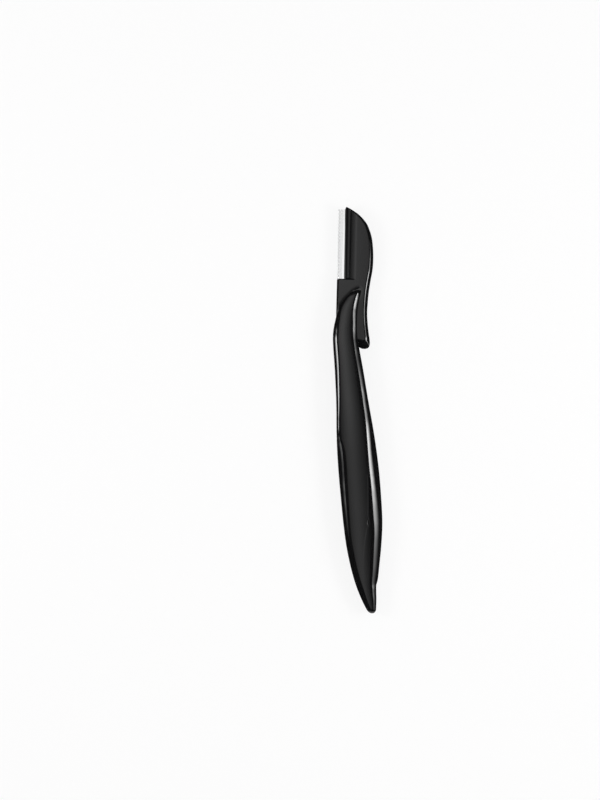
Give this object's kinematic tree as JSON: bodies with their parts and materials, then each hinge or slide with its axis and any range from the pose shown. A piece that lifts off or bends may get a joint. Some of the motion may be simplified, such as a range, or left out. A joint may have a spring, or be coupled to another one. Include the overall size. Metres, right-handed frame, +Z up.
{
  "type": "folding eyebrow razor",
  "caption": "Slim folding eyebrow razor: glossy two-shell handle with a side slot, and a guarded blade head with a thumb lever that swings out on a hidden pin.",
  "frame": {"origin": "on the surface that the razor lies on, in the middle of the open razor's outline", "axes": "+Z up, away from the surface and out of the front shell; +Y from the tail tip to the blade end; +X from the slot side, where the cutting edge is, to the handle's closed spine"},
  "size_m": [0.0158, 0.1498, 0.0087],
  "materials": {
    "black_gloss": "polished glossy black plastic",
    "pin_steel": "ground steel",
    "spring_steel": "rolled spring steel",
    "blade_steel": "ground stainless strip with a bright bevel",
    "guard_steel": "bright perforated stainless foil"
  },
  "bodies": {
    "handle": {"handle_front": "black_gloss", "handle_back": "black_gloss", "pivot_pin": "pin_steel", "washer_front": "spring_steel", "washer_back": "spring_steel"},
    "head": {"head_body": "black_gloss", "head_cover": "black_gloss", "blade": "blade_steel", "guard": "guard_steel"}
  },
  "joints": [
    {"name": "fold", "type": "hinge", "parent": "handle", "child": "head", "pos_m": [-0.00298, 0.03228, 0.00428], "axis": [0, 0, 1], "range_deg": [0, 184]}
  ]
}
